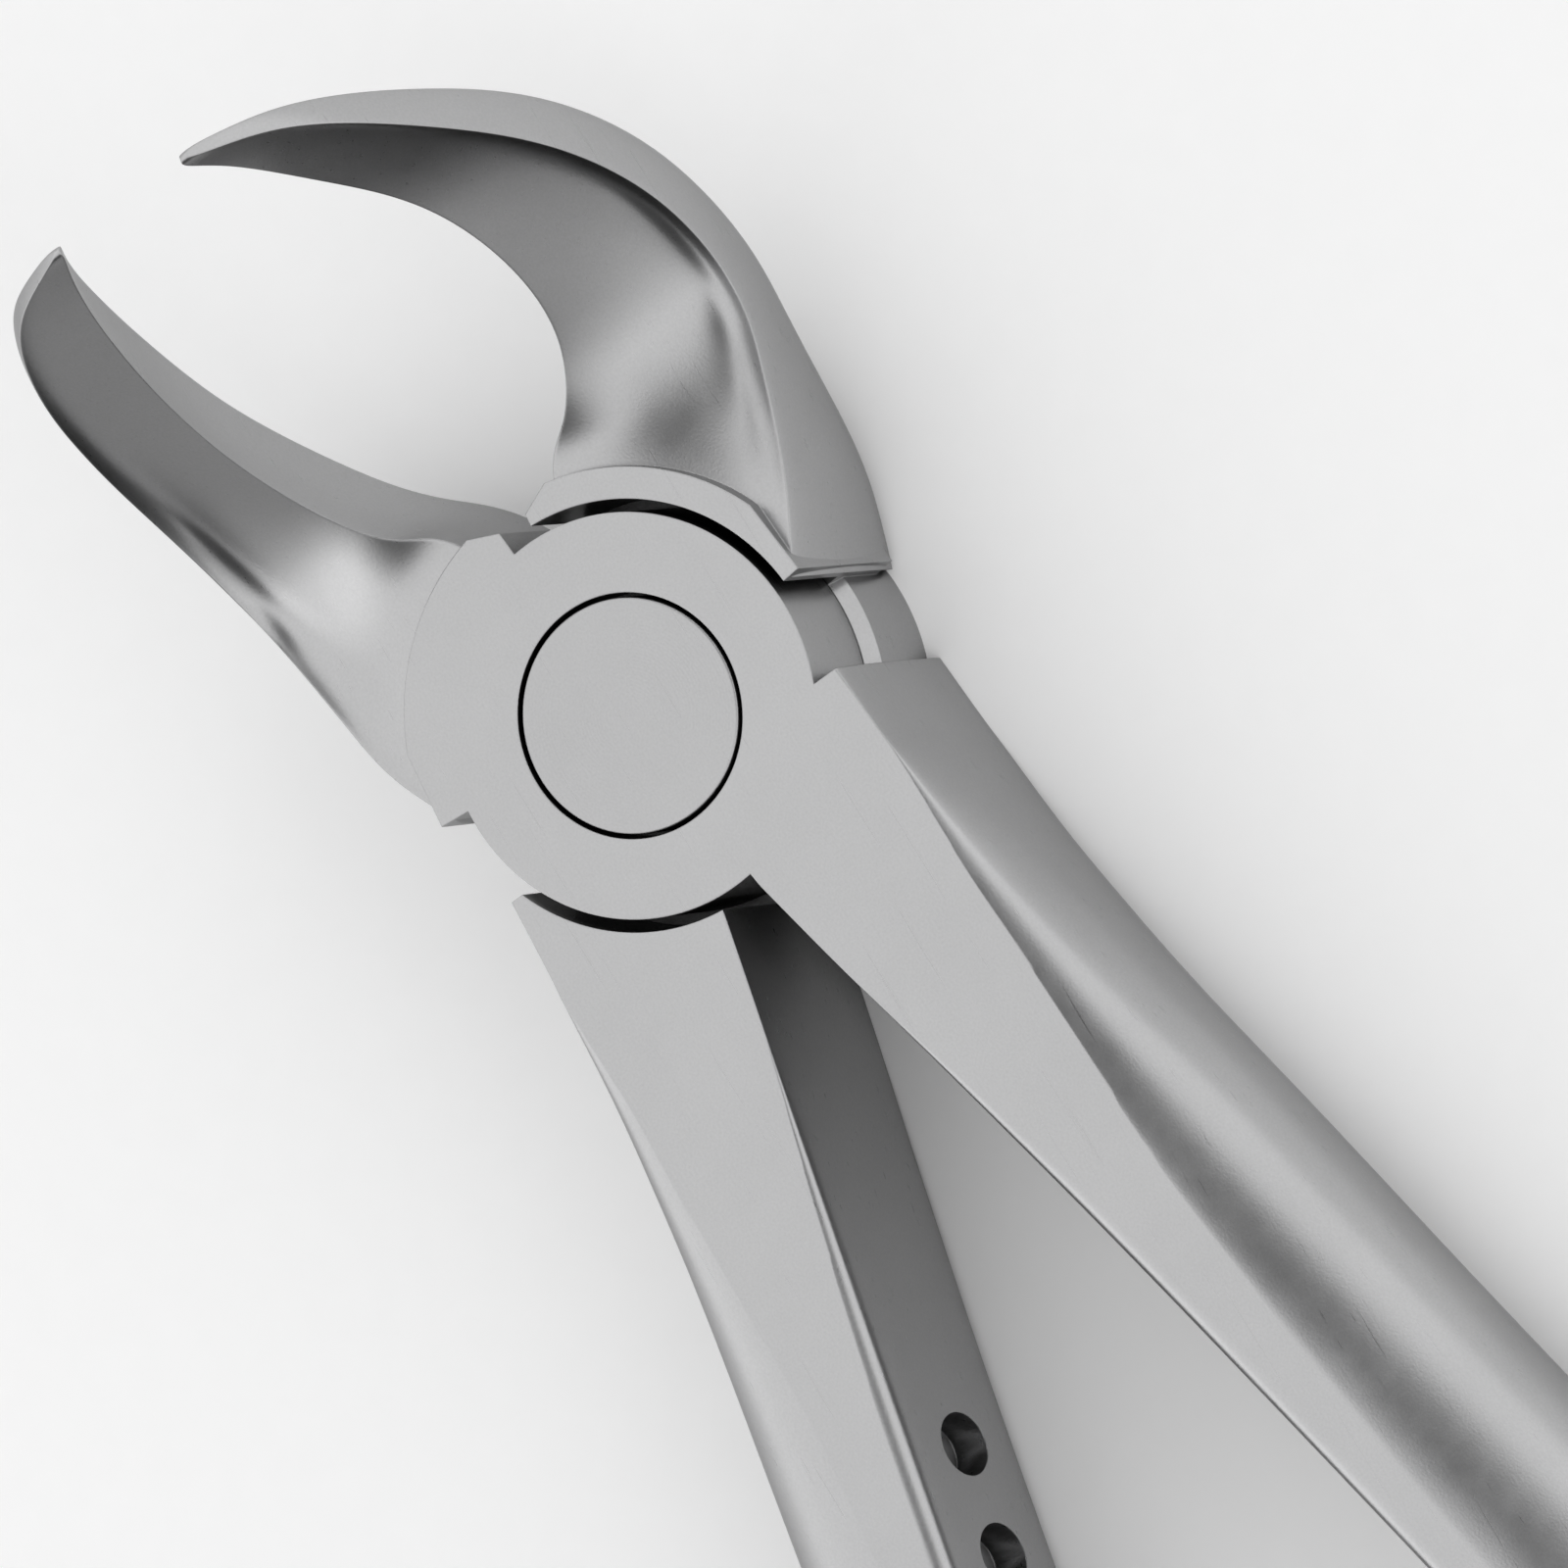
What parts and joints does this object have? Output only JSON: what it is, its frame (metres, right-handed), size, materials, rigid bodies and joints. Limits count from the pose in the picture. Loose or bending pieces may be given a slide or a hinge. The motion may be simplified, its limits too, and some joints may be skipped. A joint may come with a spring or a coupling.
{
  "type": "dental extraction forceps",
  "caption": "Satin steel tooth extraction forceps with a lap joint, pointed curved beaks that turn up from the joint, and long bowed handles.",
  "frame": {"origin": "pivot axis at the joint's flat rear face, on the pivot pin's rear end", "axes": "+Z along the pivot axis, from the rear face to the front face with the disc head; +X towards the beaks, with the handles along -X; the halves open in the XY plane"},
  "size_m": [0.1692, 0.0604, 0.0296],
  "materials": {
    "front_steel": "satin, bead blasted",
    "rear_steel": "satin, bead blasted",
    "pivot_steel": "satin, finely turned"
  },
  "bodies": {
    "rear_body": {"rear_half": "rear_steel", "pivot_pin": "pivot_steel", "pivot_nut": "pivot_steel"},
    "front_body": {"front_half": "front_steel"}
  },
  "joints": [
    {"name": "forceps_hinge", "type": "hinge", "parent": "rear_body", "child": "front_body", "pos_m": [0, 0, 0.0055], "axis": [0, 0, 1], "range_deg": [-8, 25]}
  ]
}
